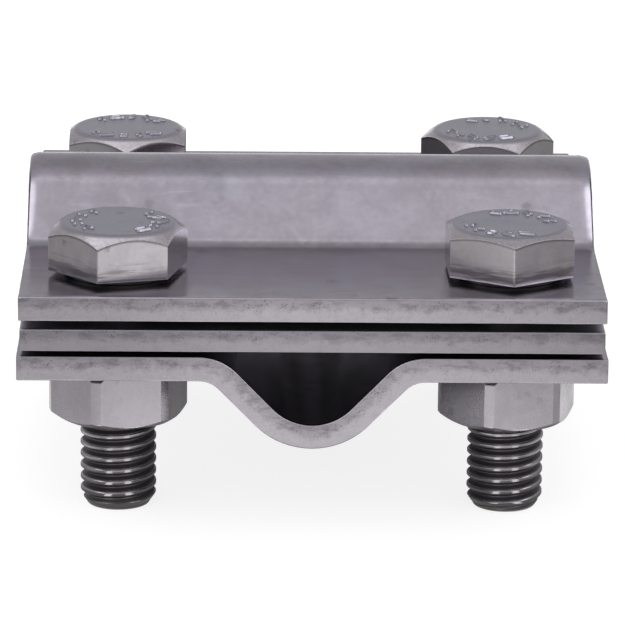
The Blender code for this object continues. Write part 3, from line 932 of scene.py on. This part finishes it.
def emissive(name):
    made = bpy.data.materials.new(name)
    made.use_nodes = True
    made.node_tree.nodes.clear()
    return made, made.node_tree, made.node_tree.nodes.new("ShaderNodeOutputMaterial")


def seen_directly(tree):
    """1 for rays that show a background: the camera's, and those off or through a glossy surface."""
    path = node(tree, "ShaderNodeLightPath").outputs
    seen = Wire(path["Is Camera Ray"]) + Wire(path["Is Glossy Ray"]) + Wire(path["Is Transmission Ray"])
    return seen.at_most(1.0)


floor_paint, tree, out = emissive("floor paint")
paint = node(tree, "ShaderNodeBsdfDiffuse", {"Color": (FLOOR_GREY, FLOOR_GREY, FLOOR_GREY, 1.0)})
glow = node(tree, "ShaderNodeEmission", {"Strength": seen_directly(tree) * FLOOR_GLOW})
both = node(tree, "ShaderNodeAddShader", {0: paint.outputs[0], 1: glow.outputs[0]})
feed(out.inputs["Surface"], both.outputs[0])
bm = bmesh.new()
bmesh.ops.create_circle(bm, cap_ends=True, segments=64, radius=FLOOR_RADIUS)
floor_mesh = bpy.data.meshes.new("floor")
bm.to_mesh(floor_mesh)
bm.free()
floor_mesh.materials.append(floor_paint)
floor = bpy.data.objects.new("floor", floor_mesh)
scene.collection.objects.link(floor)
floor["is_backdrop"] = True

world = bpy.data.worlds.new("studio")
scene.world = world
world.use_nodes = True
tree = world.node_tree
tree.nodes.clear()
x, y, height = parts_of(tree, node(tree, "ShaderNodeTexCoord").outputs["Generated"])
ahead, beside = y * -1.0, x.math("ABSOLUTE")
room = smooth_step(ahead, 0.33, 0.60) * (1.0 - smooth_step(height, 0.60, 0.90))
dusk = smooth_step(beside, 0.60, 0.76) * smooth_step(y, 0.0, 0.20)
dusk = dusk * smooth_step(height, 0.14, 0.24) * (1.0 - smooth_step(height, 0.58, 0.68))
shade = smooth_step(y, 0.40, 0.55) * (1.0 - smooth_step(y, 0.75, 0.95))
tone = smooth_step(ahead, -0.60, 0.42) * SKY_CLIMB + SKY_BEHIND
for dimmed, dimming in ((room, ROOM_DIMMING), (dusk, DUSK_DIMMING), (shade, SHADE_DIMMING)):
    tone = tone * (1.0 - dimmed * dimming)
side_box = beside * SIDE_BOX_WAY[0] + y * SIDE_BOX_WAY[1] + height * SIDE_BOX_WAY[2]
tone = tone + smooth_step(side_box, *SIDE_BOX_EDGE) * SIDE_BOX_TONE
top_box = ((x - TOP_BOX_PLACE[0]) / TOP_BOX_SIZE[0]).math("POWER", 2.0)
top_box = top_box + ((y - TOP_BOX_PLACE[1]) / TOP_BOX_SIZE[1]).math("POWER", 2.0)
tone = tone + (1.0 - smooth_step(top_box, 0.4, 1.4)) * TOP_BOX_TONE
above = node(tree, "ShaderNodeVectorMath", {0: SKY_TINT}, operation="SCALE")
feed(above.inputs["Scale"], tone)
shown = mixed(tree, smooth_step(height, 0.02, 0.14), (1.0, 1.0, 1.0), above.outputs[0])
colour = mixed(tree, seen_directly(tree), SKY_LIGHT, shown)
sky = node(tree, "ShaderNodeBackground", {"Color": colour, "Strength": 1.0})
feed(tree.nodes.new("ShaderNodeOutputWorld").inputs["Surface"], sky.outputs[0])


def soft_light(name, azimuth, elevation, distance, width, height, radiance):
    """A rectangular lamp that faces the clamp.  Azimuth 0 is the camera's side, 90 is +X."""
    a, e = radians(azimuth), radians(elevation)
    way = Vector((sin(a) * cos(e), -cos(a) * cos(e), sin(e)))
    lamp = bpy.data.lights.new(name, "AREA")
    lamp.shape = "RECTANGLE"
    lamp.size, lamp.size_y = width, height
    lamp.energy = radiance * pi * width * height
    made = bpy.data.objects.new(name, lamp)
    made.location = LENS_TARGET + way * distance
    made.rotation_mode = "QUATERNION"
    made.rotation_quaternion = way.to_track_quat("Z", "Y")
    scene.collection.objects.link(made)
    return made


lamp = soft_light(
    "overhead lamp", azimuth=170, elevation=80, distance=0.60, width=0.34, height=0.26, radiance=1.2,
)
lamp.visible_glossy = False

card_paint, tree, out = emissive("card paint")
glow = node(tree, "ShaderNodeEmission", {"Strength": attribute(tree, "tone")})
feed(out.inputs["Surface"], glow.outputs[0])
CARD_HEIGHTS = (0.0, 0.006, 0.009, 0.017, 0.019, 0.032)
CARD_HEIGHT_BEHIND = 0.027      # no card stands higher behind the clamp, where the sky lights its flange
CARD_STEP, CARD_BEHIND = 4, 144                 # degrees of a card, and where behind starts
CARD_TONES = (                  # azimuth, and tone for the nuts, the plates' edges and the heads
    (-180, 0.03, 0.03, 0.03), (-146, 0.04, 0.04, 0.04), (-140, 0.40, 0.40, 0.36), (-120, 0.50, 0.50, 0.46),
    (-90, 0.50, 0.50, 0.42), (-63, 0.60, 0.60, 0.44), (-40, 0.70, 0.76, 0.60), (-32, 0.85, 0.72, 0.60),
    (-28, 0.95, 0.50, 0.60), (-20, 0.95, 0.50, 0.70), (-14, 0.90, 0.80, 0.90), (-6, 0.88, 0.95, 1.12),
    (8, 0.88, 0.95, 1.10), (16, 0.90, 0.78, 0.80), (35, 0.90, 0.76, 0.60), (52, 0.55, 0.60, 0.44),
    (90, 0.45, 0.45, 0.42), (120, 0.36, 0.36, 0.37), (140, 0.36, 0.36, 0.36), (146, 0.04, 0.04, 0.04),
    (180, 0.03, 0.03, 0.03),
)
CARD_RADIUS = 0.055
# Dark sheets on the floor under the clamp, seen only in reflections: a painted shadow of the clamp.
FLOOR_CARDS = ((CARD_RADIUS * 0.7, 1, 0.38), (0.031, 2, 0.25))  # half width, layer and tone
LAYER = 0.0001                  # between cards that lie on the floor
STRIP_WAYS = (-23, 26)          # in which bright strips lie before each thread, for the lines on its crests
STRIP_NEAR, STRIP_FAR, STRIP_HALF, STRIP_TONE = 0.0045, 0.032, 8, 2.0


def around(azimuth, radius, z):
    """A place round the clamp.  Azimuth 0 is the camera's side, 90 is +X."""
    return Vector((radius * sin(radians(azimuth)), -radius * cos(radians(azimuth)), z))


def card_tones(azimuth):
    """The tones of the ring's low, middle and high parts at this azimuth."""
    for (start, *here), (end, *there) in zip(CARD_TONES, CARD_TONES[1:]):
        if azimuth <= end:
            share = (azimuth - start) / (end - start)
            return [low + (high - low) * share for low, high in zip(here, there)]


bm = bmesh.new()
tone = bm.verts.layers.float.new("tone")


def card(corners):
    """One face, from (place, tone) pairs."""
    verts = []
    for place, own in corners:
        vert = bm.verts.new(place)
        vert[tone] = own
        verts.append(vert)
    bm.faces.new(verts)


for start in range(-180, 180, CARD_STEP):
    end = start + CARD_STEP
    first, last = [[value for value in card_tones(azimuth) for _ in (0, 1)] for azimuth in (start, end)]
    for row, (low, high) in enumerate(zip(CARD_HEIGHTS, CARD_HEIGHTS[1:])):
        if abs(start + end) / 2 > CARD_BEHIND:
            high = min(high, CARD_HEIGHT_BEHIND)
        card([
            (around(start, CARD_RADIUS, low), first[row]), (around(end, CARD_RADIUS, low), last[row]),
            (around(end, CARD_RADIUS, high), last[row + 1]),
            (around(start, CARD_RADIUS, high), first[row + 1]),
        ])
# The painted shadow of the clamp on the floor, for reflections only.
for size, layer, own in FLOOR_CARDS:
    corners = ((-1, -1), (1, -1), (1, 1), (-1, 1))
    card([(Vector((x * size, y * size, layer * LAYER)), own) for x, y in corners])
for place in SCREW_PLACES.values():
    for aside in STRIP_WAYS:
        middle = aside + (0 if place.y < 0 else 180)
        sides = (middle - STRIP_HALF, middle + STRIP_HALF)
        rim = ((sides[0], STRIP_NEAR), (sides[1], STRIP_NEAR), (sides[1], STRIP_FAR), (sides[0], STRIP_FAR))
        card([
            (around(azimuth, reach, 3 * LAYER) + Vector((place.x, place.y, 0.0)), STRIP_TONE)
            for azimuth, reach in rim
        ])
cards_mesh = bpy.data.meshes.new("reflection_cards")
bm.to_mesh(cards_mesh)
bm.free()
cards_mesh.materials.append(card_paint)
cards = bpy.data.objects.new("reflection_cards", cards_mesh)
scene.collection.objects.link(cards)
cards.visible_camera = cards.visible_diffuse = cards.visible_shadow = False
cards.visible_transmission = cards.visible_volume_scatter = False
cards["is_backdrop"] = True


low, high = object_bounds()
